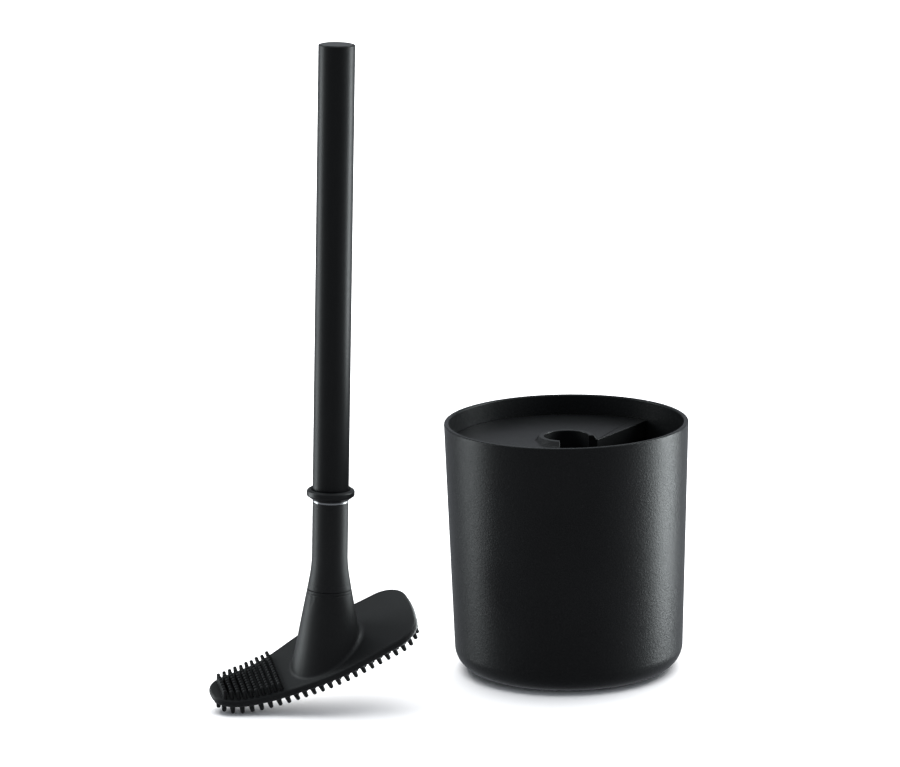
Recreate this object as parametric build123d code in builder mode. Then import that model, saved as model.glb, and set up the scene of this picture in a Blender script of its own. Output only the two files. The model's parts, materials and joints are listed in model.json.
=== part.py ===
"""Toilet brush and holder: a tapered cup, a lift-out rest plate and a silicone brush.

Millimetres, +Z up. The origin is the centre of the cup's underside, on the floor.
The brush stands beside the cup on its toe and leans a little; it is modelled in the
frame of its own shaft, and its head in the frame of the pad.
"""

from build123d import *
from math import asin, cos, degrees, radians, sin, tan
import os

os.makedirs("parts", exist_ok=True)

# ---------------------------------------------------------------- holder sizes
cup_height = 141.0
cup_top_radius = 68.0
cup_base_radius = 63.5
cup_wall = 2.7
cup_floor = 4.6
cup_base_round = 13.0
cup_inner_round = 10.0
rim_round = 0.9

foot_radius = 46.0          # anti-slip disc let into the cup's underside
foot_height = 2.0
foot_proud = 0.7            # how far the disc stands below the cup
foot_round = 0.4
foot_clearance = 0.15

# ------------------------------------------------------------ rest plate sizes
plate_recess = 11.0         # from the cup's rim down to the plate
plate_thickness = 2.4
plate_skirt_depth = 7.0     # below the plate
plate_skirt = 1.8
plate_gap = 0.35            # between the plate and the cup's wall, all round

collar_base_radius = 17.3
collar_top_radius = 15.0
collar_rise = 2.6
collar_bore_radius = 12.4
collar_guide_depth = 13.0   # below the plate's upper face
collar_guide_radius = 14.4

mouth_left = -4.0           # the cut-out's edge that runs towards the front rim
mouth_lug = -0.5            # the collar's other end
mouth_bearing = 57.0        # the cut-out's other edge, degrees from +X

seat_depth = 1.9            # ledges inside the cup that carry the plate
seat_height = 7.0
seat_arc = 12.0
seat_bearings = (72.0, 138.0, 204.0, 262.0)

# ---------------------------------------------------------------- brush sizes
brush_place = (-132.9, -70.0, 32.4)   # where the shaft's axis meets the pad
shaft_lean = 2.07                     # degrees, top towards +X

neck_radius = 9.8
neck_top = 82.4             # along the shaft, from the pad's upper face
neck_waist = 53.0           # the neck starts to flare below this
seam = 33.8                 # where the silicone meets the neck
seam_radius = 12.1
seam_slope = 0.18           # the cone widens by this much for each unit down
core_radius = 8.6           # the neck goes on inside the silicone at this radius

ring_height = 1.0
ring_radius = 9.75

flange_radius = 13.1
flange_under = 3.0          # height of the tapered underside
flange_band = 2.8
flange_height = 8.2
flange_round = 1.1
flange_shoulder = 0.3       # the flange's seat is this much wider than the tube
spigot_length = 24.0

tube_radius = 9.88
tube_wall = 1.0
tube_end = 331.7            # along the shaft
tube_edge_round = 0.45
fit_clearance = 0.05        # pressed and glued fits inside one body

cap_proud = 0.3
cap_lip_clearance = 0.1
cap_depth = 12.0
cap_wall = 1.6
cap_skin = 2.2

stud_radius = 4.0
stud_root_step = 1.0        # the end moulded into the neck is this much thicker
stud_root_depth = 22.0
thread_engagement = 12.5
thread_clearance = 0.08
bush_radius = 6.0
bush_setback = 1.0
bush_length = 14.0
stud_lead = 1.0             # bevel at the stud's tip
mouth_clearance = 0.3       # round the stud, where it enters the flange

# ------------------------------------------------------------------ head sizes
head_pitch = 25.6           # heel up, degrees from square to the shaft
head_roll = 22.3            # front edge down
head_yaw = 14.6             # heel turned back

pad_toe = 69.0              # from the shaft's axis
pad_heel = 50.5
pad_waist_half = 27.4
pad_heel_half = 27.0
pad_heel_corner = 16.5
pad_heel_bulge = 0.8
pad_shift = 0.9             # the pad's middle lies this far behind the shaft's axis
pad_thickness = 4.2
pad_edge_round = 1.7
bend_start = -28.0          # the toe curls up from here
bend_radius = 88.0

socket_mid = 15.3
socket_mid_radius = 15.5
socket_low = -18.0
socket_low_radius = 22.4
socket_low_slope = 0.3
socket_fillet = 2.5

paddle_cover = 1.4          # silicone above the stiffening paddle
paddle_thickness = 1.4
paddle_length = 58.0
paddle_width = 30.0
paddle_corner = 12.0
paddle_shift = 6.0          # towards the heel

sole_pitch = 5.0
sole_row_step = 5.0
sole_inset = 2.7
sole_rows = 5
sole_least_gap = 3.6        # no two sole bristles stand closer than this
sole_base_radius = 1.3
sole_tip_radius = 1.05
sole_length = 5.0
standing_height = 1.6       # sole bristles whose tips come lower than this carry the brush

scrub_pitch = 3.3           # between columns of the toe's upper bristles
scrub_step = 2.5            # along a column
scrub_columns = 10
scrub_first = 7.0           # first column, behind the toe
scrub_inset = 3.4
scrub_base_radius = 0.8
scrub_tip_radius = 0.65
scrub_length = 5.0


# -------------------------------------------------------------- shared helpers
def cup_radius(z):
    """Outer radius of the cup at a height."""
    return cup_base_radius + (cup_top_radius - cup_base_radius) * z / cup_height


def upright(bearing):
    """A vertical plane through the cup's axis: x runs outwards, y runs up."""
    a = radians(bearing)
    return Plane(origin=(0, 0, 0), x_dir=(cos(a), sin(a), 0), z_dir=(sin(a), -cos(a), 0))


lean = radians(shaft_lean)
shaft = Plane(origin=brush_place, x_dir=(cos(lean), 0, -sin(lean)), z_dir=(sin(lean), 0, cos(lean)))
shaft_side = Plane(origin=shaft.origin, x_dir=shaft.x_dir, z_dir=-shaft.y_dir)
shaft_axis = Axis(shaft.origin, shaft.z_dir)


def from_shaft(direction):
    """A direction given in the shaft's frame, in the model's frame."""
    return shaft.x_dir * direction.X + shaft.y_dir * direction.Y + shaft.z_dir * direction.Z


pad_up = Vector(-tan(radians(head_pitch)), -tan(radians(head_roll)), 1).normalized()
heading = Vector(cos(radians(head_yaw)), sin(radians(head_yaw)), 0)
pad_along = (heading - pad_up * heading.dot(pad_up)).normalized()
pad = Plane(origin=shaft.origin, x_dir=from_shaft(pad_along), z_dir=from_shaft(pad_up))
pad_side = Plane(origin=pad.origin, x_dir=pad.x_dir, z_dir=-pad.y_dir)

# ==================================================================== holder
plate_top = cup_height - plate_recess
plate_under = plate_top - plate_thickness
skirt_foot = plate_under - plate_skirt_depth

with BuildPart() as outer_cup:
    with BuildSketch(Plane.XZ):
        with BuildLine():
            Polyline(
                (0, foot_proud),
                (cup_radius(foot_proud), foot_proud),
                (cup_top_radius, cup_height),
                (0, cup_height),
                close=True,
            )
        make_face()
        fillet(vertices().sort_by(Axis.Y)[:2].sort_by(Axis.X)[-1], cup_base_round)
    revolve(axis=Axis.Z)
    with BuildSketch(Plane.XZ):
        with BuildLine():
            Polyline(
                (0, cup_floor),
                (cup_radius(cup_floor) - cup_wall, cup_floor),
                (cup_top_radius - cup_wall, cup_height),
                (0, cup_height),
                close=True,
            )
        make_face()
        fillet(vertices().sort_by(Axis.Y)[:2].sort_by(Axis.X)[-1], cup_inner_round)
    revolve(axis=Axis.Z, mode=Mode.SUBTRACT)
    fillet(edges().group_by(Axis.Z)[-1], rim_round)
    # recess for the anti-slip disc
    with BuildSketch(Plane.XY.offset(foot_height)):
        Circle(foot_radius + foot_clearance)
    extrude(amount=-foot_height, mode=Mode.SUBTRACT)
    # short ledges that carry the rest plate
    ledge_wall = cup_radius(skirt_foot) - cup_wall
    for bearing in seat_bearings:
        with BuildSketch(upright(bearing - seat_arc / 2)):
            with BuildLine():
                Polyline(
                    (ledge_wall - seat_depth, skirt_foot),
                    (ledge_wall + cup_wall / 2, skirt_foot),
                    (ledge_wall + cup_wall / 2 - seat_depth / 4, skirt_foot - seat_height),
                    (ledge_wall - seat_depth / 4, skirt_foot - seat_height),
                    close=True,
                )
            make_face()
        revolve(axis=Axis.Z, revolution_arc=-seat_arc)
outer_cup.part.label = "outer_cup"
export_step(outer_cup.part, "parts/outer_cup.step")

with BuildPart() as foot_disc:
    with BuildSketch():
        Circle(foot_radius)
    extrude(amount=foot_height)
    fillet(edges().group_by(Axis.Z)[0], foot_round)
foot_disc.part.label = "foot_disc"
export_step(foot_disc.part, "parts/foot_disc.step")

# ================================================================ rest plate
plate_radius = cup_radius(plate_top) - cup_wall - plate_gap
beyond = 2 * cup_top_radius
edge_run = Vector(cos(radians(mouth_bearing)), sin(radians(mouth_bearing)))

with BuildSketch() as mouth:
    Circle(collar_bore_radius)
    with BuildLine():
        Polyline(
            (mouth_left, 0),
            (mouth_left, -beyond),
            (beyond, -beyond),
            (beyond, beyond * edge_run.Y),
            (collar_base_radius + beyond * edge_run.X, mouth_lug + beyond * edge_run.Y),
            (collar_base_radius, mouth_lug),
            (collar_bore_radius / 2, mouth_lug),
            close=True,
        )
    make_face()

with BuildSketch() as plate_plan:
    Circle(plate_radius)
    add(mouth.sketch, mode=Mode.SUBTRACT)

with BuildSketch() as plate_web:
    add(plate_plan.sketch)
    offset(plate_plan.sketch, amount=-plate_skirt, kind=Kind.INTERSECTION, mode=Mode.SUBTRACT)

with BuildPart() as rest_plate:
    with BuildSketch(Plane.XY.offset(plate_under)):
        add(plate_plan.sketch)
    extrude(amount=plate_thickness)
    with BuildSketch(Plane.XY.offset(skirt_foot)):
        add(plate_web.sketch)
    extrude(amount=plate_skirt_depth)
    # raised collar with a flared foot, and its guide below the plate
    with BuildSketch(Plane.XZ):
        with BuildLine():
            Polyline(
                (0, plate_top - collar_guide_depth),
                (collar_guide_radius, plate_top - collar_guide_depth),
                (collar_guide_radius, plate_under),
                (collar_base_radius, plate_under),
                (collar_base_radius, plate_top),
                (collar_top_radius, plate_top + collar_rise),
                (0, plate_top + collar_rise),
                close=True,
            )
        make_face()
    revolve(axis=Axis.Z)
    with BuildSketch(Plane.XY.offset(plate_top - collar_guide_depth)):
        add(mouth.sketch)
    extrude(amount=collar_guide_depth + collar_rise, mode=Mode.SUBTRACT)
    # the plate's edge follows the cup's taper
    with BuildSketch(Plane.XZ):
        with BuildLine():
            Polyline(
                (0, 0),
                (cup_base_radius - cup_wall - plate_gap, 0),
                (cup_top_radius - cup_wall - plate_gap, cup_height),
                (0, cup_height),
                close=True,
            )
        make_face()
    revolve(axis=Axis.Z, mode=Mode.INTERSECT)
rest_plate.part.label = "rest_plate"
export_step(rest_plate.part, "parts/rest_plate.step")

# ======================================================= brush: neck and stud
ring_top = neck_top + ring_height
stud_root_radius = stud_radius + stud_root_step
stud_top = ring_top + bush_setback + thread_engagement
paddle_top = pad.offset(-paddle_cover)
paddle_bottom = pad.offset(-paddle_cover - paddle_thickness)

with BuildPart() as neck:
    with BuildSketch(shaft_side):
        with BuildLine():
            foot_line = Polyline(
                (0, -2 * core_radius),
                (core_radius, -2 * core_radius),
                (core_radius, seam),
                (seam_radius, seam),
            )
            flare = Spline(
                foot_line @ 1,
                (neck_radius, neck_waist),
                tangents=((-seam_slope, 1), (0, 1)),
            )
            Polyline(flare @ 1, (neck_radius, neck_top), (0, neck_top), foot_line @ 0)
        make_face()
    revolve(axis=shaft_axis)
    split(bisect_by=paddle_bottom, keep=Keep.TOP)
    with BuildSketch(paddle_bottom):
        with Locations((paddle_shift, 0)):
            RectangleRounded(paddle_length, paddle_width, paddle_corner)
    extrude(amount=paddle_thickness)
    # seat of the metal stud
    with BuildSketch(shaft_side):
        with Locations((0, neck_top)):
            Rectangle(stud_root_radius, stud_root_depth, align=(Align.MIN, Align.MAX))
    revolve(axis=shaft_axis, mode=Mode.SUBTRACT)
neck.part.label = "neck"
export_step(neck.part, "parts/neck.step")

with BuildPart() as thread_stud:
    with BuildSketch(shaft_side):
        with BuildLine():
            Polyline(
                (0, neck_top - stud_root_depth),
                (stud_root_radius, neck_top - stud_root_depth),
                (stud_root_radius, neck_top),
                (stud_radius, neck_top),
                (stud_radius, stud_top - stud_lead),
                (stud_radius - stud_lead, stud_top),
                (0, stud_top),
                close=True,
            )
        make_face()
    revolve(axis=shaft_axis)
thread_stud.part.label = "thread_stud"
export_step(thread_stud.part, "parts/thread_stud.step")

with BuildPart() as bright_ring:
    with BuildSketch(shaft.offset(neck_top)):
        Circle(ring_radius)
        Circle(stud_radius + mouth_clearance, mode=Mode.SUBTRACT)
    extrude(amount=ring_height)
bright_ring.part.label = "bright_ring"
export_step(bright_ring.part, "parts/bright_ring.step")

# ============================================================= brush: handle
spigot_radius = tube_radius - tube_wall - fit_clearance
tube_foot = ring_top + flange_height

with BuildPart() as hanging_flange:
    with BuildSketch(shaft_side):
        with BuildLine():
            Polyline(
                (stud_radius + mouth_clearance, ring_top),
                (neck_radius, ring_top),
                (flange_radius, ring_top + flange_under),
                (flange_radius, ring_top + flange_under + flange_band),
                (tube_radius + flange_shoulder, tube_foot),
                (spigot_radius, tube_foot),
                (spigot_radius, tube_foot + spigot_length),
                (bush_radius, tube_foot + spigot_length),
                (bush_radius, ring_top + bush_setback),
                (stud_radius + mouth_clearance, ring_top + bush_setback),
                close=True,
            )
        make_face()
        fillet(vertices().group_by(Axis.X)[-1], flange_round)
    revolve(axis=shaft_axis)
hanging_flange.part.label = "hanging_flange"
export_step(hanging_flange.part, "parts/hanging_flange.step")

with BuildPart() as thread_bush:
    with BuildSketch(shaft.offset(ring_top + bush_setback)):
        Circle(bush_radius - fit_clearance)
        Circle(stud_radius + thread_clearance, mode=Mode.SUBTRACT)
    extrude(amount=bush_length)
thread_bush.part.label = "thread_bush"
export_step(thread_bush.part, "parts/thread_bush.step")

with BuildPart() as handle_tube:
    with BuildSketch(shaft.offset(tube_foot)):
        Circle(tube_radius)
        Circle(tube_radius - tube_wall, mode=Mode.SUBTRACT)
    extrude(amount=tube_end - tube_foot)
    top_edges = edges().sort_by(shaft_axis)[-2:]
    fillet(top_edges.sort_by(SortBy.RADIUS)[-1], tube_edge_round)
handle_tube.part.label = "handle_tube"
export_step(handle_tube.part, "parts/handle_tube.step")

with BuildPart() as handle_top_cap:
    cap_radius = tube_radius - tube_wall - cap_lip_clearance
    with BuildSketch(shaft.offset(tube_end + cap_proud)):
        Circle(cap_radius)
    extrude(amount=-cap_depth - cap_proud)
    with BuildSketch(shaft.offset(tube_end - cap_depth)):
        Circle(cap_radius - cap_wall)
    extrude(amount=cap_depth + cap_proud - cap_skin, mode=Mode.SUBTRACT)
    fillet(edges().sort_by(shaft_axis)[-1], cap_proud)
handle_top_cap.part.label = "handle_top_cap"
export_step(handle_top_cap.part, "parts/handle_top_cap.step")

# =============================================================== brush: head
reach = pad_toe + pad_thickness     # the bent strip is made longer than the toe
bend_angle = asin((reach + bend_start) / bend_radius)
bend_centre = (bend_start, bend_radius)
sole_radius = bend_radius + pad_thickness
corner_centre = (pad_heel - pad_heel_corner, pad_shift + pad_heel_half - pad_heel_corner)
toe_shoulder = (-0.655 * pad_toe, pad_shift + 0.635 * pad_waist_half)

with BuildSketch() as pad_plan:
    with BuildLine():
        corner = CenterArc(corner_centre, pad_heel_corner, 0, 90)
        Spline(
            corner @ 1,
            (0, pad_shift + pad_waist_half),
            toe_shoulder,
            (-pad_toe, pad_shift),
            tangents=((-1, 0), (0, -1)),
        )
        ThreePointArc(
            (pad_heel + pad_heel_bulge, pad_shift),
            (pad_heel + 0.75 * pad_heel_bulge, (pad_shift + corner_centre[1]) / 2),
            corner @ 0,
        )
        mirror(about=Plane.XZ.offset(-pad_shift))
    make_face()

with BuildPart() as socket:
    with BuildSketch(shaft_side):
        with BuildLine():
            lip = Line((0, seam), (seam_radius, seam))
            cone = Spline(
                lip @ 1,
                (socket_mid_radius, socket_mid),
                (socket_low_radius, socket_low),
                tangents=((seam_slope, -1), (socket_low_slope, -1)),
            )
            Polyline(
                cone @ 1,
                (socket_low_radius, -2 * socket_low_radius),
                (0, -2 * socket_low_radius),
                lip @ 0,
            )
        make_face()
    revolve(axis=shaft_axis)
    split(bisect_by=pad.offset(-pad_thickness / 2), keep=Keep.TOP)

with BuildPart() as head_skin:
    # the pad: a strip bent up at the toe, cut to its outline
    with BuildSketch(pad_side):
        with BuildLine():
            upper = CenterArc(bend_centre, bend_radius, 270, -degrees(bend_angle))
            lower = CenterArc(bend_centre, sole_radius, 270, -degrees(bend_angle))
            Line(upper @ 1, lower @ 1)
            Polyline(
                lower @ 0,
                (2 * pad_heel, -pad_thickness),
                (2 * pad_heel, 0),
                upper @ 0,
            )
        make_face()
    extrude(amount=2 * pad_waist_half, both=True)
    with BuildSketch(pad):
        add(pad_plan.sketch)
    extrude(amount=pad_toe, both=True, mode=Mode.INTERSECT)
    fillet(edges().filter_by(GeomType.LINE, reverse=True), pad_edge_round)
    # the socket that grips the neck
    add(socket.part)
    fillet(edges(Select.NEW), socket_fillet)
    # the silicone is moulded round the neck's hidden end
    add(neck.part, mode=Mode.SUBTRACT)
head_skin.part.label = "head_skin"
export_step(head_skin.part, "parts/head_skin.step")


# ============================================================ brush: bristles
def skin_plane(x, y, radius, side):
    """A plane on the pad at (x, y), facing out: side is 1 on its upper face, -1 on its sole."""
    angle = asin(max(bend_start - x, 0) / radius)
    foot = Vector(x, y, bend_radius - radius * cos(angle))
    out = (pad.x_dir * sin(angle) + pad.z_dir * cos(angle)) * side
    return Plane(origin=pad.from_local_coords(foot), x_dir=pad.y_dir, z_dir=out)


def bristle(base_radius, tip_radius, length):
    """One round-ended bristle, standing on its base."""
    with BuildPart() as one:
        with BuildSketch():
            Circle(base_radius)
        with BuildSketch(Plane.XY.offset(length)):
            Circle(tip_radius)
        loft()
        fillet(edges().sort_by(Axis.Z)[-1], 0.85 * tip_radius)
    return one.part


sole_spots = []
for row in range(sole_rows):
    with BuildSketch() as row_plan:
        offset(pad_plan.sketch, amount=-sole_inset - row * sole_row_step)
    path = row_plan.sketch.faces()[0].outer_wire()
    count = round(path.length / sole_pitch)
    for i in range(count):
        spot = path @ (i / count)
        if all((spot - other).length > sole_least_gap for other in sole_spots):
            sole_spots.append(spot)

sole_planes = [skin_plane(p.X, p.Y, sole_radius, -1) for p in sole_spots]
sole_bristle = bristle(sole_base_radius, sole_tip_radius, sole_length)


def stands(plane):
    """Whether the bristle on this plane is one of those that the brush stands on."""
    return (plane.origin + plane.z_dir * sole_length).Z < standing_height


with BuildPart() as sole_bristles:
    with Locations(*[plane for plane in sole_planes if not stands(plane)]):
        add(sole_bristle)
sole_bristles.part.label = "sole_bristles"
export_step(sole_bristles.part, "parts/sole_bristles.step")

with BuildPart() as standing_bristles:
    with Locations(*[plane for plane in sole_planes if stands(plane)]):
        add(sole_bristle)
standing_bristles.part.label = "standing_bristles"
export_step(standing_bristles.part, "parts/standing_bristles.step")

with BuildSketch() as scrub_plan:
    offset(pad_plan.sketch, amount=-scrub_inset)
scrub_field = scrub_plan.sketch.faces()[0]

scrub_planes = []
for column in range(scrub_columns):
    x = -pad_toe + scrub_first + column * scrub_pitch
    across = Edge.make_line((x, -pad_toe), (x, pad_toe)) & scrub_field
    half = across.bounding_box().max.Y - pad_shift
    steps = int(2 * half / scrub_step)
    for i in range(steps + 1):
        y = pad_shift + (i - steps / 2) * scrub_step
        scrub_planes.append(skin_plane(x, y, bend_radius, 1))

scrub_bristle = bristle(scrub_base_radius, scrub_tip_radius, scrub_length)
with BuildPart() as toe_bristles:
    with Locations(*scrub_planes):
        add(scrub_bristle)
toe_bristles.part.label = "toe_bristles"
export_step(toe_bristles.part, "parts/toe_bristles.step")

print("sole bristles", len(sole_planes), "toe bristles", len(scrub_planes))
print("standing on", len(standing_bristles.part.solids()), "bristles")
print("lowest bristle tip", round(standing_bristles.part.bounding_box().min.Z, 2))
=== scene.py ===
# %% [markdown]
# # A silicone toilet brush standing beside its holder
# The set has three things to look at: a tapered plastic cup, the plate that drops into the
# cup's mouth, and a brush with a metal handle and a soft silicone head. The engineering
# model gives every place and size, so this lesson starts by loading it as a fixed frame and
# then makes finer pieces that stand exactly where its pieces stand.

# %% Load the frame
import json
from math import cos, radians, sin, tan, tau
from random import Random

import bmesh
import bpy
import numpy as np
from mathutils import Matrix, Vector

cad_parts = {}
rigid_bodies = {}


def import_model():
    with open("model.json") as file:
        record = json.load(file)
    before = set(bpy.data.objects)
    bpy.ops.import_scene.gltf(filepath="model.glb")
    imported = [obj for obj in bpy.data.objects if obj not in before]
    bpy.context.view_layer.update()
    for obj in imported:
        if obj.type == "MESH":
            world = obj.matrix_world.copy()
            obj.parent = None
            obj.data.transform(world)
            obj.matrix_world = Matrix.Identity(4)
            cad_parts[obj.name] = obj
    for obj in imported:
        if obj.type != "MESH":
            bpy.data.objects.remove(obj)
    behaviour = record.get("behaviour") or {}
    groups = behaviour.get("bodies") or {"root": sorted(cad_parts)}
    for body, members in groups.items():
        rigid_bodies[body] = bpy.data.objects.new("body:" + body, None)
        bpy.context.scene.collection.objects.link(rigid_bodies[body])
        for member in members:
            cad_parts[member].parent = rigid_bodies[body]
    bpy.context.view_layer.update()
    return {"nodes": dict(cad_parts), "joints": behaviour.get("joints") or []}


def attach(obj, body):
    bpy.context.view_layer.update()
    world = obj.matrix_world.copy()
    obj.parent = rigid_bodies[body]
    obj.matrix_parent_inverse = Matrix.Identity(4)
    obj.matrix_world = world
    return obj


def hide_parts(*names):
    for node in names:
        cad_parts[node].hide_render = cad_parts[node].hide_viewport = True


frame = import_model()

MM = 0.001
WELD = 2e-6

# %% [markdown]
# ## Two axes to measure along
# Nearly every piece here is turned: the cup and its foot about the vertical, the brush's neck,
# collar ring and handle about a shaft that leans a little. The thread's joint in the record
# gives the shaft's line. Measuring a node along such a line gives its ends and its greatest
# radius, and those numbers drive the new pieces.

# %% The shaft's line and a ruler
thread_joint = next(joint for joint in frame["joints"] if joint["name"] == "handle_unscrew")
shaft_up = Vector(thread_joint["axis"]).normalized()
neck_top = Vector(thread_joint["pos_m"])
FLOOR_CENTRE = Vector((0, 0, 0))
UP = Vector((0, 0, 1))
RIGHT = Vector((1, 0, 0))


def points_of(node):
    """Every vertex of a node, as an array in metres."""
    mesh = frame["nodes"][node].data
    flat = np.empty(len(mesh.vertices) * 3, dtype=np.float32)
    mesh.vertices.foreach_get("co", flat)
    return flat.reshape(-1, 3).astype(float)


def measure(node, foot=neck_top, up=shaft_up):
    """Lowest and highest place along a line, and the greatest radius about it, in millimetres."""
    away = points_of(node) - np.array(foot)
    heights = away @ np.array(up)
    radii = np.linalg.norm(away - np.outer(heights, np.array(up)), axis=1)
    return heights.min() / MM, heights.max() / MM, radii.max() / MM


print("handle tube along the shaft:", [round(value, 2) for value in measure("handle_tube")])
print("cup about the vertical:", [round(value, 2) for value in measure("outer_cup", FLOOR_CENTRE, UP)])

# %% [markdown]
# ## The camera
# A long lens from a little above gives the flat, catalogue look of the set: upright lines stay
# nearly parallel and the plate inside the cup can just be seen. The camera is rolled by a
# degree, as a hand-held one is.

# %% Camera
CAMERA_PLACE = Vector((-0.0641, -2.480, 0.714))
CAMERA_TILT = radians(90 - 12.52)
CAMERA_ROLL = radians(-1.0)
LENS = 183.3

camera_data = bpy.data.cameras.new("camera")
camera_data.lens = LENS
camera_data.sensor_width = 36
camera_data.clip_end = 30
camera = bpy.data.objects.new("camera", camera_data)
camera.matrix_world = (
    Matrix.Translation(CAMERA_PLACE) @ Matrix.Rotation(CAMERA_TILT, 4, "X")
    @ Matrix.Rotation(CAMERA_ROLL, 4, "Z")
)
bpy.context.scene.collection.objects.link(camera)
bpy.context.scene.camera = camera
print("camera at", tuple(round(value, 3) for value in CAMERA_PLACE))

# %% [markdown]
# ## Shader maths that reads like maths
# A material is a graph of nodes. Writing each Math node by hand hides the idea, so one small
# class wraps an output socket and lets Python's operators add the nodes: `1 - mask * 0.5` is
# then a graph. Every other node comes from `Finish.node`, which sets the node up and joins
# its sockets in one call.


# %% Sockets as values
class Wire:
    """An output socket that can be added, subtracted and multiplied."""

    def __init__(self, tree, socket):
        self.tree = tree
        self.socket = socket

    def math(self, operation, first, second=0.0):
        made = self.tree.nodes.new("ShaderNodeMath")
        made.operation = operation
        for place, value in zip(made.inputs, (first, second)):
            if isinstance(value, Wire):
                self.tree.links.new(value.socket, place)
            else:
                place.default_value = value
        return Wire(self.tree, made.outputs[0])

    def __add__(self, other):
        return self.math("ADD", self, other)

    def __sub__(self, other):
        return self.math("SUBTRACT", self, other)

    def __rsub__(self, other):
        return self.math("SUBTRACT", other, self)

    def __mul__(self, other):
        return self.math("MULTIPLY", self, other)

    __radd__ = __add__
    __rmul__ = __mul__


class Finish:
    """One material: its fixed values go on the shader, and its changing ones are fed to it."""

    def __init__(self, name, **fixed):
        self.material = bpy.data.materials.new(name)
        self.material.use_nodes = True
        self.tree = self.material.node_tree
        self.shader = self.tree.nodes["Principled BSDF"]
        for socket, value in fixed.items():
            self.shader.inputs[socket.replace("_", " ")].default_value = value
        self.place = self.node("ShaderNodeTexCoord", output="Object")

    def node(self, kind, settings=None, sockets=None, output=0):
        """Adds a node: first its settings, then the values or links of its sockets."""
        made = self.tree.nodes.new(kind)
        for name, value in (settings or {}).items():
            setattr(made, name, value)
        for name, value in (sockets or {}).items():
            if isinstance(value, Wire):
                self.tree.links.new(value.socket, made.inputs[name])
            else:
                made.inputs[name].default_value = value
        return Wire(self.tree, made.outputs[output])

    def feed(self, socket, wire):
        self.tree.links.new(wire.socket, self.shader.inputs[socket])

    def noise(self, size, detail=2.0, rough=0.5):
        """Noise whose blobs are about this many millimetres across, from 0 to 1."""
        sockets = {"Vector": self.place, "Scale": 1 / (size * MM), "Detail": detail,
                   "Roughness": rough}
        return self.node("ShaderNodeTexNoise", {}, sockets)

    def step(self, wire, low, high):
        """0 below low, 1 above high, smooth between."""
        sockets = {"Value": wire, "From Min": low, "From Max": high}
        return self.node("ShaderNodeMapRange", {"interpolation_type": "SMOOTHSTEP"}, sockets)

    def blend(self, share, first, second):
        """A mix of two colours."""
        sockets = {0: share, 6: first, 7: second}
        return self.node("ShaderNodeMix", {"data_type": "RGBA"}, sockets, output=2)

    def along(self, foot, up):
        """How far a point lies along a line, in millimetres."""
        away = self.node("ShaderNodeVectorMath", {"operation": "SUBTRACT"}, {0: self.place, 1: foot})
        sockets = {0: away, 1: up}
        return self.node("ShaderNodeVectorMath", {"operation": "DOT_PRODUCT"}, sockets, 1) * (1 / MM)

    def bump(self, height, depth, under=None):
        """Relief of this depth in millimetres, on top of another relief if there is one."""
        sockets = {"Height": height, "Distance": depth * MM, "Strength": 1.0}
        if under is not None:
            sockets["Normal"] = under
        return self.node("ShaderNodeBump", {}, sockets)


def grey(value, warmth=0.0):
    """A linear grey, a little warmer or cooler."""
    return (value * (1 + warmth), value, value * (1 - warmth), 1)


print("shader helpers ready")

# %% [markdown]
# ## The blacks
# Everything is black, so the finishes have to differ in other ways. The cup is moulded plastic
# from a spark-eroded tool: satin, with a fine speckle. The plate is the same plastic with a
# quieter texture. The handle is a metal tube with a satin coat. The head is silicone, soft
# and matt, which holds a little dust. Each recipe below gives a grain at its real size, slow
# clouds of colour and gloss, and the marks of use where a hand or a wall rubs.


# %% A recipe for moulded plastic
def moulded_plastic(name, base, gloss, grain, depth, level, polish=None):
    """Satin plastic. base is how grey it is, gloss its roughness, grain the texture's size and
    depth its relief in millimetres, and level the strength of its reflection."""
    finish = Finish(name, IOR=1.5, Specular_IOR_Level=level)
    cloud = finish.noise(38, 3)
    drift = finish.noise(9, 2)
    sparks = finish.noise(grain, 3, rough=0.65)
    fine = finish.noise(grain * 0.35, 2)
    fleck = finish.step(sparks, 0.60, 0.78)
    dark = finish.blend(cloud, grey(base * 0.78, -0.03), grey(base * 1.2, -0.05))
    finish.feed("Base Color", finish.blend(fleck * 0.55, dark, grey(base * 2.6, -0.04)))
    rough = gloss + (cloud - 0.5) * 0.05 + (drift - 0.5) * 0.05 + (sparks - 0.5) * 0.16
    if polish is not None:
        rough = rough - polish(finish) * 0.09
    finish.feed("Roughness", rough)
    relief = finish.bump(fine, depth * 0.35)
    finish.feed("Normal", finish.bump(sparks, depth, relief))
    return finish.material


# %% Plastic finishes
rim_height = measure("outer_cup", FLOOR_CENTRE, UP)[1]
RUB_STARTS = 2.2
RUB_FULL = 0.4


def rim_polish(finish):
    """Hands lift the plate over the rim, and the last two millimetres are rubbed smooth."""
    height = finish.along(FLOOR_CENTRE, UP)
    worn = finish.step(height, rim_height - RUB_STARTS, rim_height - RUB_FULL)
    return worn * finish.step(finish.noise(7, 2), 0.3, 0.7)


cup_black = moulded_plastic(
    "cup_black", base=0.0050, gloss=0.35, grain=1.20, depth=0.140, level=0.06, polish=rim_polish)
plate_black = moulded_plastic(
    "plate_black", base=0.0030, gloss=0.38, grain=0.60, depth=0.014, level=0.12)
neck_black = moulded_plastic(
    "neck_black", base=0.0058, gloss=0.47, grain=0.90, depth=0.070, level=0.09)
flange_black = moulded_plastic(
    "flange_black", base=0.0048, gloss=0.38, grain=0.50, depth=0.010, level=0.10)
cap_black = moulded_plastic(
    "cap_black", base=0.0050, gloss=0.38, grain=0.45, depth=0.010, level=0.20)
plastics = (cup_black, plate_black, neck_black, flange_black, cap_black)
print("plastics:", [material.name for material in plastics])

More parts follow.
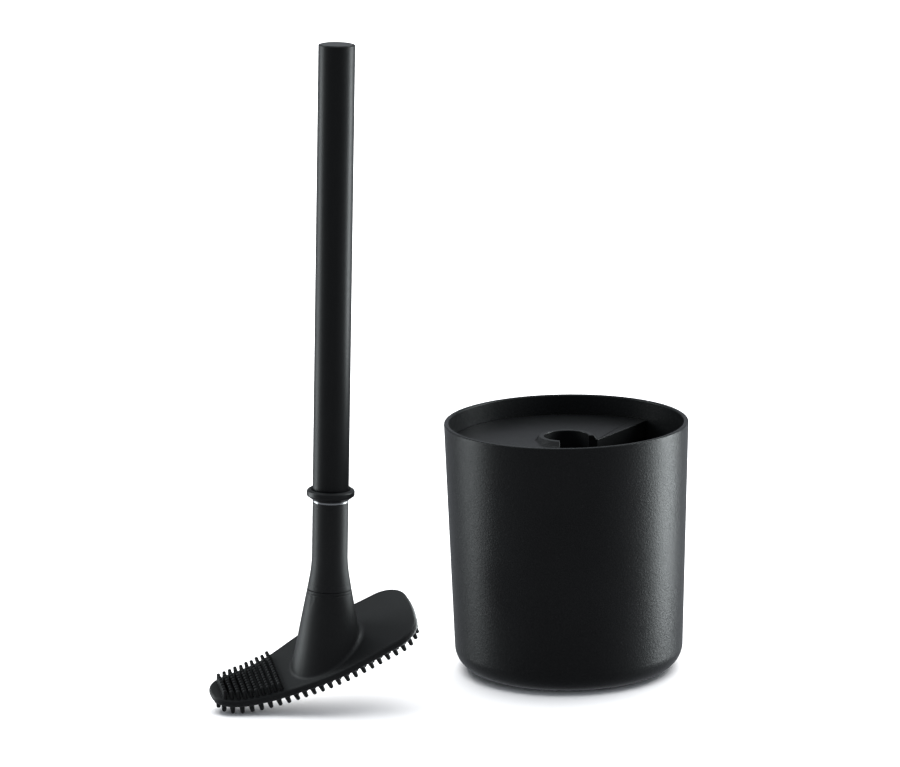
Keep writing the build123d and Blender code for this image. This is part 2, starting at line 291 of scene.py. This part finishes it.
# %% [markdown]
# ## Coated metal, steel and brass
# A powder-like coat on a tube is smooth at arm's length and pebbled close up, so its relief is
# a noise of half a millimetre with a slower one below it. Turned metal shows rings: a noise
# that is squeezed along the shaft and left long across it gives lines that run round.


# %% Metal finishes
GRIP_FADES_IN = (120, 190)
GRIP_FADES_OUT = (215, 250)


def coated_tube():
    """The handle's coat, a little smoother over the stretch where the hand closes."""
    finish = Finish("tube_black", IOR=1.5, Specular_IOR_Level=0.07)
    pebbles = finish.noise(0.55, 2)
    swell = finish.noise(3.2, 2)
    cloud = finish.noise(30, 3)
    fleck = finish.step(pebbles, 0.62, 0.80)
    dark = finish.blend(cloud, grey(0.0038, -0.04), grey(0.0056, -0.06))
    finish.feed("Base Color", finish.blend(fleck * 0.5, dark, grey(0.013, -0.05)))
    reach = finish.along(neck_top, shaft_up)
    grip = finish.step(reach, *GRIP_FADES_IN) * (1 - finish.step(reach, *GRIP_FADES_OUT))
    rough = 0.41 + (cloud - 0.5) * 0.05 + (pebbles - 0.5) * 0.14 - grip * 0.025
    finish.feed("Roughness", rough)
    finish.feed("Normal", finish.bump(pebbles, 0.060, finish.bump(swell, 0.03)))
    return finish.material


def turned_metal(name, colour, gloss, pitch):
    """Bare metal with tool rings about this many millimetres apart, and a little tarnish."""
    finish = Finish(name, IOR=2.5)
    reach = finish.along(neck_top, shaft_up)
    line = finish.node("ShaderNodeCombineXYZ", {}, {"X": reach * (1 / pitch)})
    rings = finish.node("ShaderNodeTexNoise", {}, {"Vector": line, "Scale": 1.0, "Detail": 3.0})
    tarnish = finish.step(finish.noise(4, 3), 0.5, 0.85)
    bright = (*colour, 1)
    dull = (*(share * 0.6 for share in colour), 1)
    finish.feed("Base Color", finish.blend(tarnish * 0.6, bright, dull))
    finish.feed("Metallic", 1 - tarnish * 0.12)
    finish.feed("Roughness", gloss + (rings - 0.5) * 0.2 + tarnish * 0.15)
    finish.feed("Normal", finish.bump(rings, 0.01))
    return finish.material


tube_black = coated_tube()
ring_steel = turned_metal("ring_steel", (0.20, 0.20, 0.205), gloss=0.26, pitch=0.12)
stud_steel = turned_metal("stud_steel", (0.50, 0.50, 0.52), gloss=0.32, pitch=0.20)
bush_brass = turned_metal("bush_brass", (0.78, 0.56, 0.24), gloss=0.30, pitch=0.20)
print("metals:", tube_black.name, ring_steel.name, stud_steel.name, bush_brass.name)

# %% [markdown]
# ## Silicone and rubber
# Silicone has a matt skin that flows a little where it cooled, so a broad shallow relief lies
# under a fine one. It picks up dust, so a sparse pale fleck is mixed in. The foot's rubber is
# the same recipe, greyer and rougher.


# %% Soft finishes
def soft_rubber(name, base, gloss, level):
    finish = Finish(name, IOR=1.41, Specular_IOR_Level=level)
    skin = finish.noise(0.32, 2)
    flow = finish.noise(6, 3)
    cloud = finish.noise(22, 2)
    dust = finish.step(finish.noise(1.1, 4, rough=0.7), 0.66, 0.82)
    dark = finish.blend(cloud, grey(base * 0.8, -0.03), grey(base * 1.25, -0.04))
    finish.feed("Base Color", finish.blend(dust * 0.25, dark, grey(base * 4)))
    finish.feed("Roughness", gloss + (flow - 0.5) * 0.06 + (skin - 0.5) * 0.10 + dust * 0.08)
    finish.feed("Normal", finish.bump(skin, 0.008, finish.bump(flow, 0.03)))
    return finish.material


silicone_black = soft_rubber("silicone_black", base=0.0054, gloss=0.48, level=0.12)
foot_rubber = soft_rubber("foot_rubber", base=0.0090, gloss=0.66, level=0.35)
print("soft finishes:", silicone_black.name, foot_rubber.name)

# %% [markdown]
# ## Turning a piece
# A lathe is the natural tool for a cup or a handle: draw half of its section and turn it.
# `rounded` takes the section's corners with a radius each and puts arcs in them, and `turned`
# sweeps the section round a line. A short sweep closes its ends, which makes the little ledges
# inside the cup. A weighted-normal modifier keeps flat faces flat beside their rounded edges.


# %% Sections and the lathe
ARC_STEPS = 7
LARGE_ROUND = 5


def rounded(corners):
    """A section from corners of (radius out, height, rounding), with arcs at the rounded ones."""
    line = []
    for i, (x, z, radius) in enumerate(corners):
        here = Vector((x, z))
        if radius == 0:
            line.append(here)
            continue
        back = (Vector(corners[i - 1][:2]) - here).normalized()
        ahead = (Vector(corners[(i + 1) % len(corners)][:2]) - here).normalized()
        half = back.angle(ahead) / 2
        centre = here + (back + ahead).normalized() * (radius / sin(half))
        start = here + back * (radius / tan(half)) - centre
        end = here + ahead * (radius / tan(half)) - centre
        steps = ARC_STEPS * (2 if radius > LARGE_ROUND else 1)
        turn = start.angle_signed(end)
        for k in range(steps + 1):
            line.append(centre + Matrix.Rotation(-turn * k / steps, 2) @ start)
    return line


def to_object(name, maker, material):
    """A shown object from a bmesh, with smooth faces and its finish."""
    mesh = bpy.data.meshes.new(name)
    bmesh.ops.recalc_face_normals(maker, faces=maker.faces)
    maker.to_mesh(mesh)
    maker.free()
    mesh.polygons.foreach_set("use_smooth", [True] * len(mesh.polygons))
    mesh.materials.append(material)
    piece = bpy.data.objects.new(name, mesh)
    bpy.context.scene.collection.objects.link(piece)
    return piece


def keep_flats(piece, angle=35):
    """Sharp edges stay sharp, and large faces set the shading of the small ones beside them."""
    piece.data.set_sharp_from_angle(angle=radians(angle))
    modifier = piece.modifiers.new("flats", "WEIGHTED_NORMAL")
    modifier.keep_sharp = True


def square_to(up):
    """Two directions square to a line and to each other."""
    across = (RIGHT - up * RIGHT.dot(up)).normalized()
    return across, up.cross(across)


def turn_into(maker, section, foot, up, sides, start=0.0, sweep=tau, closed=False):
    """Sweeps a section, in millimetres, round the line from foot along up."""
    stand = Matrix((*square_to(up), up)).transposed()
    whole = abs(sweep - tau) < 1e-6
    columns = []
    for i in range(sides if whole else sides + 1):
        angle = start + sweep * i / sides
        column = []
        for x, z in section:
            if x == 0 and columns:
                column.append(columns[0][len(column)])
                continue
            out = Vector((x * cos(angle), x * sin(angle), z)) * MM
            column.append(maker.verts.new(foot + stand @ out))
        columns.append(column)
    rows = len(section)
    for i in range(sides):
        left, right = columns[i], columns[(i + 1) % len(columns)]
        for k in range(rows if closed else rows - 1):
            corners = [left[k], right[k], right[(k + 1) % rows], left[(k + 1) % rows]]
            once = list(dict.fromkeys(corners))
            if len(once) > 2:
                maker.faces.new(once)
    if not whole:
        maker.faces.new(columns[0])
        maker.faces.new(columns[-1])


def turned(name, section, material, foot=neck_top, up=shaft_up, sides=128, closed=False):
    """A piece of its own, swept all the way round."""
    maker = bmesh.new()
    turn_into(maker, section, foot, up, sides, closed=closed)
    piece = to_object(name, maker, material)
    keep_flats(piece)
    print(name, "has", len(piece.data.polygons), "faces")
    return piece


# %% [markdown]
# ## The cup
# One moulding, 2.7 mm thick, that widens upwards. Its rim is a narrow flat between two small
# rounds, and its foot turns in with a large round that throws the soft shadow line at the
# floor. Four ledges inside carry the plate; they are short sweeps of a wedge section.

# %% Cup and ledges
cup_low, cup_high, rim_radius = measure("outer_cup", FLOOR_CENTRE, UP)
foot_low, foot_high, foot_radius = measure("foot_disc", FLOOR_CENTRE, UP)

CUP_TOP_RADIUS = 68.0
CUP_BASE_RADIUS = 63.5
CUP_WALL = 2.7
CUP_FLOOR = 4.6
BASE_ROUND = 13.0
INNER_ROUND = 10.0
RIM_ROUND = 0.9
RECESS_CLEARANCE = 0.15
CUP_SIDES = 224


def cup_radius(height):
    """The cup's outside radius at a height, as it widens evenly upwards."""
    return CUP_BASE_RADIUS + (CUP_TOP_RADIUS - CUP_BASE_RADIUS) * height / cup_high


cup_section = rounded([
    (0, foot_high, 0),
    (foot_radius + RECESS_CLEARANCE, foot_high, 0.3),
    (foot_radius + RECESS_CLEARANCE, cup_low, 0.4),
    (cup_radius(cup_low), cup_low, BASE_ROUND),
    (CUP_TOP_RADIUS, cup_high, RIM_ROUND),
    (CUP_TOP_RADIUS - CUP_WALL, cup_high, RIM_ROUND),
    (cup_radius(CUP_FLOOR) - CUP_WALL, CUP_FLOOR, INNER_ROUND),
    (0, CUP_FLOOR, 0),
])
cup_maker = bmesh.new()
turn_into(cup_maker, cup_section, FLOOR_CENTRE, UP, CUP_SIDES)

LEDGE_TOP = 120.6
LEDGE_HEIGHT = 7.0
LEDGE_DEPTH = 1.9
LEDGE_ARC = radians(12)
LEDGE_BEARINGS = (72, 138, 204, 262)
LEDGE_SIDES = 10
ledge_wall = cup_radius(LEDGE_TOP) - CUP_WALL
ledge_section = rounded([
    (ledge_wall - LEDGE_DEPTH, LEDGE_TOP, 0.35),
    (ledge_wall + CUP_WALL / 2, LEDGE_TOP, 0),
    (ledge_wall + CUP_WALL / 2 - LEDGE_DEPTH / 4, LEDGE_TOP - LEDGE_HEIGHT, 0),
    (ledge_wall - LEDGE_DEPTH / 4, LEDGE_TOP - LEDGE_HEIGHT, 0),
])
for bearing in LEDGE_BEARINGS:
    first = radians(bearing) - LEDGE_ARC / 2
    turn_into(cup_maker, ledge_section, FLOOR_CENTRE, UP, LEDGE_SIDES, first, LEDGE_ARC, closed=True)
cup = to_object("cup_shell", cup_maker, cup_black)
keep_flats(cup)
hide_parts("outer_cup")
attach(cup, "holder")
print("cup faces:", len(cup.data.polygons), "rim radius of the node:", round(rim_radius, 2))

# %% [markdown]
# ## The foot
# A rubber disc under the cup stops it sliding. Nobody sees it until the cup is lifted, but its
# rounded edge and shallow grip rings cost only a few points of section.

# %% Foot disc
GRIP_RINGS = (41.0, 36.0, 31.0)
GRIP_WIDTH = 1.2
GRIP_DEPTH = 0.35
foot_corners = [(0, foot_high, 0), (foot_radius, foot_high, 0.15), (foot_radius, foot_low, 0.4)]
for ring in GRIP_RINGS:
    foot_corners += [
        (ring + GRIP_WIDTH, foot_low, 0),
        (ring + GRIP_WIDTH * 0.7, foot_low + GRIP_DEPTH, 0),
        (ring + GRIP_WIDTH * 0.3, foot_low + GRIP_DEPTH, 0),
        (ring, foot_low, 0),
    ]
foot_corners.append((0, foot_low, 0))
foot = turned("grip_foot", rounded(foot_corners), foot_rubber, FLOOR_CENTRE, UP,
              sides=160)
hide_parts("foot_disc")
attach(foot, "holder")

# %% [markdown]
# ## Softened copies of machined shapes
# The rest plate and the neck aren't turned: a wide cut-out opens the plate's collar to the side,
# and the neck ends in a paddle inside the silicone. The frame's meshes have the right outline
# but knife edges, which no moulding has, and knife edges catch no light. A copy is welded, its
# flat faces are merged, and a bevel modifier rounds every edge. The neck also carries two
# hairline rings. They are real dents: the mesh is cut at five heights for each ring, and the
# points between are moved in towards the shaft.


# %% Fine rings round the shaft
SKIN_STARTS = 9.4
CUTS = (-1, -0.5, 0, 0.5, 1)


def cut_grooves(maker, grooves):
    """Sinks rings into the shaft's skin, each (height, depth, half width) in millimetres."""
    for height, _, width in grooves:
        for offset in CUTS:
            cut = neck_top + shaft_up * (height + offset * width) * MM
            bmesh.ops.bisect_plane(
                maker, geom=maker.verts[:] + maker.edges[:] + maker.faces[:],
                plane_co=cut, plane_no=shaft_up, dist=WELD)
    for vertex in maker.verts:
        away = vertex.co - neck_top
        level = away.dot(shaft_up)
        out = away - shaft_up * level
        sink = 0.0
        for height, depth, width in grooves:
            offset = (level / MM - height) / width
            if out.length > SKIN_STARTS * MM:
                sink += depth * max(0.0, 1 - offset * offset)
        if sink > 0:
            vertex.co -= out.normalized() * sink * MM


# %% Soften a copy
FLAT_ENOUGH = radians(0.4)


def softened(name, node, width, segments, material, sharpest=28, grooves=()):
    """A copy of a node whose edges over the sharpest angle, in degrees, are rounded."""
    maker = bmesh.new()
    maker.from_mesh(frame["nodes"][node].data)
    bmesh.ops.remove_doubles(maker, verts=maker.verts, dist=WELD)
    bmesh.ops.dissolve_limit(
        maker, angle_limit=FLAT_ENOUGH, verts=maker.verts, edges=maker.edges,
        use_dissolve_boundaries=False)
    cut_grooves(maker, grooves)
    piece = to_object(name, maker, material)
    bevel = piece.modifiers.new("edges", "BEVEL")
    bevel.width = width * MM
    bevel.segments = segments
    bevel.limit_method = "ANGLE"
    bevel.angle_limit = radians(sharpest)
    bevel.use_clamp_overlap = False
    bevel.miter_outer = "MITER_ARC"
    bevel.harden_normals = False
    keep_flats(piece, 60)
    print(name, "has", len(piece.data.polygons), "faces before its edges are rounded")
    return piece


plate = softened("rest_plate_soft", "rest_plate", 0.35, 3, plate_black)
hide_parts("rest_plate")
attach(plate, "plate")

# %% The neck and its two hairlines
seam_height = measure("head_skin")[1]
RING_HAIRLINE = (-2.3, 0.10, 0.30)
SEAM_HAIRLINE = (seam_height + 3.2, 0.08, 0.35)
neck = softened(
    "neck_soft", "neck", 0.22, 2, neck_black, sharpest=60,
    grooves=(RING_HAIRLINE, SEAM_HAIRLINE))
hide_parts("neck")
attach(neck, "brush")

# %% [markdown]
# ## The handle
# A steel tube slides over the flange's spigot and ends in a plug-like cap. The flange is the
# shoulder that hangs on the plate's collar: a cone below, a short band, and a top that dips
# inwards to the tube, so a dark line runs round the tube's foot. A thin bright ring sits
# between the flange and the neck.

# %% Ring, flange, tube and cap
ring_low, ring_high, ring_radius = measure("bright_ring")
flange_low, flange_high, flange_radius = measure("hanging_flange")
tube_low, tube_high, tube_radius = measure("handle_tube")
cap_low, cap_high, cap_radius = measure("handle_top_cap")
NECK_RADIUS = 9.8
STUD_RADIUS = 4.0
STUD_GAP = 0.3
RING_ROUND = 0.12
TUBE_WALL = 1.0
SPIGOT_GAP = 0.05
hole_radius = STUD_RADIUS + STUD_GAP
spigot_radius = tube_radius - TUBE_WALL - SPIGOT_GAP

ring = turned("polished_ring", rounded([
    (hole_radius, ring_low, 0),
    (ring_radius, ring_low, RING_ROUND),
    (ring_radius, ring_high, RING_ROUND),
    (hole_radius, ring_high, 0),
]), ring_steel, closed=True)
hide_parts("bright_ring")
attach(ring, "washer")

BAND_FOOT = 2.5
BAND_TOP = 5.1
BAND_ROUND = 1.2
CREST_RADIUS = 11.4
CREST = 6.3
SADDLE = 5.0
GROOVE_DEPTH = 0.7
groove_floor = flange_low + SADDLE - GROOVE_DEPTH
BUSH_RADIUS = 6.0
BUSH_SETBACK = 1.0
flange = turned("hanging_shoulder", rounded([
    (hole_radius, flange_low, 0),
    (NECK_RADIUS, flange_low, 0.25),
    (flange_radius, flange_low + BAND_FOOT, BAND_ROUND),
    (flange_radius, flange_low + BAND_TOP, BAND_ROUND),
    (CREST_RADIUS, flange_low + CREST, 0.7),
    (tube_radius + 0.35, flange_low + SADDLE, 0.15),
    (tube_radius - 0.1, groove_floor, 0.1),
    (spigot_radius, groove_floor, 0),
    (spigot_radius, flange_high, 0.4),
    (BUSH_RADIUS, flange_high, 0.3),
    (BUSH_RADIUS, flange_low + BUSH_SETBACK, 0),
    (hole_radius, flange_low + BUSH_SETBACK, 0),
]), flange_black, closed=True)
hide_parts("hanging_flange")
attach(flange, "handle")

tube = turned("coated_tube", rounded([
    (tube_radius - TUBE_WALL, flange_low + SADDLE, 0.1),
    (tube_radius, flange_low + SADDLE, 0.5),
    (tube_radius, tube_high, 0.45),
    (tube_radius - TUBE_WALL, tube_high, 0.15),
]), tube_black, closed=True)
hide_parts("handle_tube")
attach(tube, "handle")

CAP_WALL = 1.6
CAP_SKIN = 2.2
cap = turned("end_cap", rounded([
    (0, cap_high, 0),
    (cap_radius, cap_high, 0.3),
    (cap_radius, cap_low, 0.3),
    (cap_radius - CAP_WALL, cap_low, 0.2),
    (cap_radius - CAP_WALL, cap_high - CAP_SKIN, 0.4),
    (0, cap_high - CAP_SKIN, 0),
]), cap_black)
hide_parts("handle_top_cap")
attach(cap, "handle")

# %% [markdown]
# ## The thread
# The frame's stud is a plain rod, which is enough to check clearances. When the handle is
# unscrewed its thread shows, so the stud is turned again with a radius that falls and rises
# once for each pitch of height, and a little later for each step round: that shift is what
# makes rings into a helix.

# %% Threaded stud
PITCH = 1.25
THREAD_DEPTH = 0.62
ROD_SIDES = 48
ROWS_PER_PITCH = 8
stud_low, stud_high, stud_root = measure("thread_stud")
thread_start = ring_high - 0.2
LEAD = 1.0


def thread_radius(height, angle):
    """The rod's radius: a trapezium wave along the height, shifted once round."""
    phase = (height / PITCH - angle / tau) % 1
    wave = min(max(abs(phase - 0.5) * 4 - 0.55, 0), 1)
    fade = min(max((height - thread_start) / PITCH, 0), 1)
    tip = STUD_RADIUS - LEAD + (stud_high - height)
    return min(STUD_RADIUS - THREAD_DEPTH * wave * fade, tip)


rod = bmesh.new()
turn_into(rod, rounded([(0, stud_low, 0), (stud_root, stud_low, 0.4), (stud_root, 0, 0.1),
                        (STUD_RADIUS, 0, 0)]), neck_top, shaft_up, ROD_SIDES)
rows = int(stud_high / PITCH * ROWS_PER_PITCH)
across, beside = square_to(shaft_up)
previous = None
for row in range(rows + 1):
    height = stud_high * row / rows
    loop = []
    for side in range(ROD_SIDES):
        angle = tau * side / ROD_SIDES
        out = (across * cos(angle) + beside * sin(angle)) * thread_radius(height, angle)
        loop.append(rod.verts.new(neck_top + (out + shaft_up * height) * MM))
    if previous:
        for side in range(ROD_SIDES):
            after = (side + 1) % ROD_SIDES
            rod.faces.new([previous[side], previous[after], loop[after], loop[side]])
    previous = loop
rod.faces.new(previous)
bmesh.ops.remove_doubles(rod, verts=rod.verts, dist=1e-5)
stud = to_object("threaded_stud", rod, stud_steel)
keep_flats(stud, 50)
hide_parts("thread_stud")
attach(stud, "brush")
print("threaded stud:", len(stud.data.polygons), "faces,", round(stud_high / PITCH, 1), "turns")

# %% [markdown]
# ## The silicone head
# A soft moulding has no sharp edge anywhere. A voxel remesh turns the frame's solid into an
# even skin of small quads, a few smoothing steps relax it, and a shrinkwrap puts every vertex
# back on the true surface, so only the edges stay soft. Two fine rings where the silicone grips
# the neck are cut in afterwards, as on the neck.

# %% Head skin
VOXEL = 0.5
UNDER_SEAM = (seam_height - 2.0, 0.20, 0.30)
SEAM = (seam_height, 0.40, 0.55)
head_copy = bpy.data.objects.new("head_soft", frame["nodes"]["head_skin"].data.copy())
bpy.context.scene.collection.objects.link(head_copy)
remesh = head_copy.modifiers.new("even skin", "REMESH")
remesh.mode = "VOXEL"
remesh.voxel_size = VOXEL * MM
relax = head_copy.modifiers.new("relax", "SMOOTH")
relax.factor = 0.5
relax.iterations = 4
wrap = head_copy.modifiers.new("true surface", "SHRINKWRAP")
wrap.target = frame["nodes"]["head_skin"]
wrap.wrap_method = "NEAREST_SURFACEPOINT"
settle = head_copy.modifiers.new("soft edges", "SMOOTH")
settle.factor = 0.5
settle.iterations = 1
evaluated = head_copy.evaluated_get(bpy.context.evaluated_depsgraph_get())
head_mesh = bpy.data.meshes.new_from_object(evaluated)
bpy.data.objects.remove(head_copy)

head_maker = bmesh.new()
head_maker.from_mesh(head_mesh)
cut_grooves(head_maker, (UNDER_SEAM, SEAM))
head = to_object("head_soft", head_maker, silicone_black)
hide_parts("head_skin")
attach(head, "brush")
print("head:", len(head.data.polygons), "faces, seam", round(seam_height, 2), "mm from the neck's top")

# %% [markdown]
# ## Bristles
# The frame's bristles are plain cones in three groups. Each one's foot, direction, length and
# foot radius are read back from its vertices, and a softer, slightly stouter bristle is turned
# in its place: it flares into the skin at its root, tapers, and ends in a dome. A lean of up to
# a degree and a half, different for each, keeps the rows from looking machined.

# %% Read the bristles
LEAN = radians(1.6)
END_BAND = 0.12
lean_luck = Random(11)


def separate_solids(node):
    """The points of each loose part of a node."""
    maker = bmesh.new()
    maker.from_mesh(frame["nodes"][node].data)
    bmesh.ops.remove_doubles(maker, verts=maker.verts, dist=WELD)
    seen = set()
    for first in maker.verts:
        if first in seen:
            continue
        group, waiting = [], [first]
        seen.add(first)
        while waiting:
            vertex = waiting.pop()
            group.append(vertex.co.copy())
            for edge in vertex.link_edges:
                other = edge.other_vert(vertex)
                if other not in seen:
                    seen.add(other)
                    waiting.append(other)
        yield np.array(group)
    maker.free()


def bristle_lines(node):
    """Foot, tip and foot radius, in millimetres, of each bristle."""
    for group in separate_solids(node):
        middle = group.mean(0)
        line = np.linalg.svd(group - middle, full_matrices=False)[2][0]
        heights = (group - middle) @ line
        ends = []
        for end in (heights.min(), heights.max()):
            rim = group[np.abs(heights - end) < END_BAND * MM]
            centre = rim.mean(0)
            ends.append((np.linalg.norm(rim - centre, axis=1).max(), centre))
        ends.sort(key=lambda pair: -pair[0])
        (foot_size, foot), (_, tip) = ends
        yield Vector(foot), Vector(tip), foot_size / MM


# %% Turn the bristles
BRISTLE_SIDES = 14
FLARE = ((1.18, -0.30), (1.12, 0.05), (1.05, 0.20), (1.01, 0.45), (1.0, 0.90))
CROWN = 0.7
DOME_STEPS = 5
SHORTEST = 0.02


def bristle_section(foot_radius, tip_radius, length):
    """Half of a bristle's outline, from inside the skin to the middle of its dome."""
    line = [(foot_radius * share, height) for share, height in FLARE]
    crown = tip_radius * CROWN
    dome = length - crown
    line.append(((foot_radius + tip_radius) / 2, (FLARE[-1][1] + dome) / 2))
    for k in range(DOME_STEPS):
        angle = radians(90) * k / DOME_STEPS
        line.append((tip_radius * cos(angle) ** 0.8, dome + crown * sin(angle)))
    line.append((0, length))
    return line


def soft_bristles(name, node, stout, tip_share):
    """A field of bristles, stout times as thick as the node's and tapering to the tip's share."""
    maker = bmesh.new()
    count = 0
    for foot, tip, foot_radius in bristle_lines(node):
        up = (tip - foot).normalized()
        side = up.orthogonal().normalized()
        side.rotate(Matrix.Rotation(lean_luck.random() * tau, 3, up))
        up = (up + side * lean_luck.random() * LEAN).normalized()
        length = (tip - foot).length / MM * (1 - SHORTEST * lean_luck.random())
        thick = foot_radius * stout
        section = bristle_section(thick, thick * tip_share, length)
        turn_into(maker, section, foot, up, BRISTLE_SIDES)
        count += 1
    piece = to_object(name, maker, silicone_black)
    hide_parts(node)
    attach(piece, "brush")
    print(name, "has", count, "bristles and", len(piece.data.polygons), "faces")
    return piece


soft_bristles("sole_bristles_soft", "sole_bristles", stout=1.12, tip_share=0.81)
soft_bristles("standing_bristles_soft", "standing_bristles", stout=1.12, tip_share=0.81)
soft_bristles("toe_bristles_soft", "toe_bristles", stout=1.50, tip_share=0.84)

# %% [markdown]
# ## A piece that stays as it is
# The brass bush is hidden in the handle and already has its true shape, so it keeps the frame's
# mesh and only gets a finish.

# %% The bush's finish
bush_mesh = frame["nodes"]["thread_bush"].data
bush_mesh.materials.clear()
bush_mesh.materials.append(bush_brass)
print("kept node finished: thread_bush")

# %% [markdown]
# ## Floor and light
# A wide pale floor fills the view. Black satin is drawn by what it reflects, so the lights are
# placed for their reflections: a tall strip on each side and a little behind gives the bright
# band near each edge of the cup and the handle, the right one stronger, and a big panel
# overhead lights the faces that look up. Light linking gives each lamp its own job. The strips
# and the panel shine only on the set, and two wash lights make the floor white and its shadows
# soft. The floor is hidden from glossy rays, or its white would drown the bands near the edges.
# The cup stands between the brush and the right strip, so a small strip beside the neck takes
# over there.


# %% Floor
FLOOR_HALF = 6.0
FLOOR_PARTS = 12
floor_maker = bmesh.new()
bmesh.ops.create_grid(floor_maker, x_segments=FLOOR_PARTS, y_segments=FLOOR_PARTS, size=FLOOR_HALF)
floor_mesh = bpy.data.meshes.new("floor")
floor_maker.to_mesh(floor_mesh)
floor_maker.free()
floor = bpy.data.objects.new("floor", floor_mesh)
bpy.context.scene.collection.objects.link(floor)
paper = Finish("pale_floor", Specular_IOR_Level=0.1, Roughness=0.9)
paper.feed("Base Color", paper.blend(paper.noise(60, 2), grey(0.90), grey(0.92)))
floor.data.materials.append(paper.material)
floor.visible_glossy = False
floor.visible_shadow = False

# %% Lights
COOL = (0.92, 0.985, 1.0)
WHITE = (1, 1, 1)
BRUSH_PIECES = ("neck_soft", "head_soft", "polished_ring", "sole_bristles_soft",
                "standing_bristles_soft", "toe_bristles_soft")


def shown_to(name, keep):
    """A group of the meshes that a light shines on."""
    group = bpy.data.collections.new(name)
    for item in bpy.context.scene.objects:
        if item.type == "MESH" and keep(item):
            group.objects.link(item)
    return group


def panel(name, place, aim, size, power, group, colour=COOL):
    """A soft rectangular light of a width and height in metres, which faces its aim."""
    data = bpy.data.lights.new(name, "AREA")
    data.shape = "RECTANGLE"
    data.size, data.size_y = size
    data.energy = power
    data.color = colour
    lamp = bpy.data.objects.new(name, data)
    lamp.location = place
    lamp.rotation_euler = (Vector(aim) - Vector(place)).to_track_quat("-Z", "Y").to_euler()
    lamp.visible_camera = False
    lamp.light_linking.receiver_collection = group
    bpy.context.scene.collection.objects.link(lamp)


set_pieces = shown_to("set_pieces", lambda item: item is not floor)
floor_only = shown_to("floor_only", lambda item: item is floor)
brush_pieces = shown_to("brush_pieces", lambda item: item.name in BRUSH_PIECES)
SET_MIDDLE = (-0.03, 0, 0.14)
panel("overhead", (0.0, 0.30, 2.4), SET_MIDDLE, (3.4, 3.0), 52, set_pieces)
panel("floor_wash", (0.25, 0.9, 2.1), SET_MIDDLE, (4.2, 4.0), 190, floor_only, WHITE)
panel("far_wash", (0.0, 3.2, 2.8), (0, 3.2, 0), (6.0, 3.4), 110, floor_only, WHITE)
panel("right_strip", (0.60, 0.13, 0.27), (0, 0, 0.27), (0.28, 0.86), 22, set_pieces)
panel("left_strip", (-0.75, 0.13, 0.26), (0, 0, 0.26), (0.32, 0.88), 10.5, set_pieces)
panel("neck_strip", (-0.075, -0.054, 0.06), (-0.133, -0.070, 0.06), (0.036, 0.14), 0.15,
      brush_pieces)

# %% Surroundings
SKY = (0.93, 0.98, 1.06, 1)
SKY_STRENGTH = 0.54
world = bpy.data.worlds.new("studio")
bpy.context.scene.world = world
world.use_nodes = True
background = world.node_tree.nodes["Background"]
background.inputs["Color"].default_value = SKY
background.inputs["Strength"].default_value = SKY_STRENGTH
bpy.context.scene.view_settings.view_transform = "Standard"
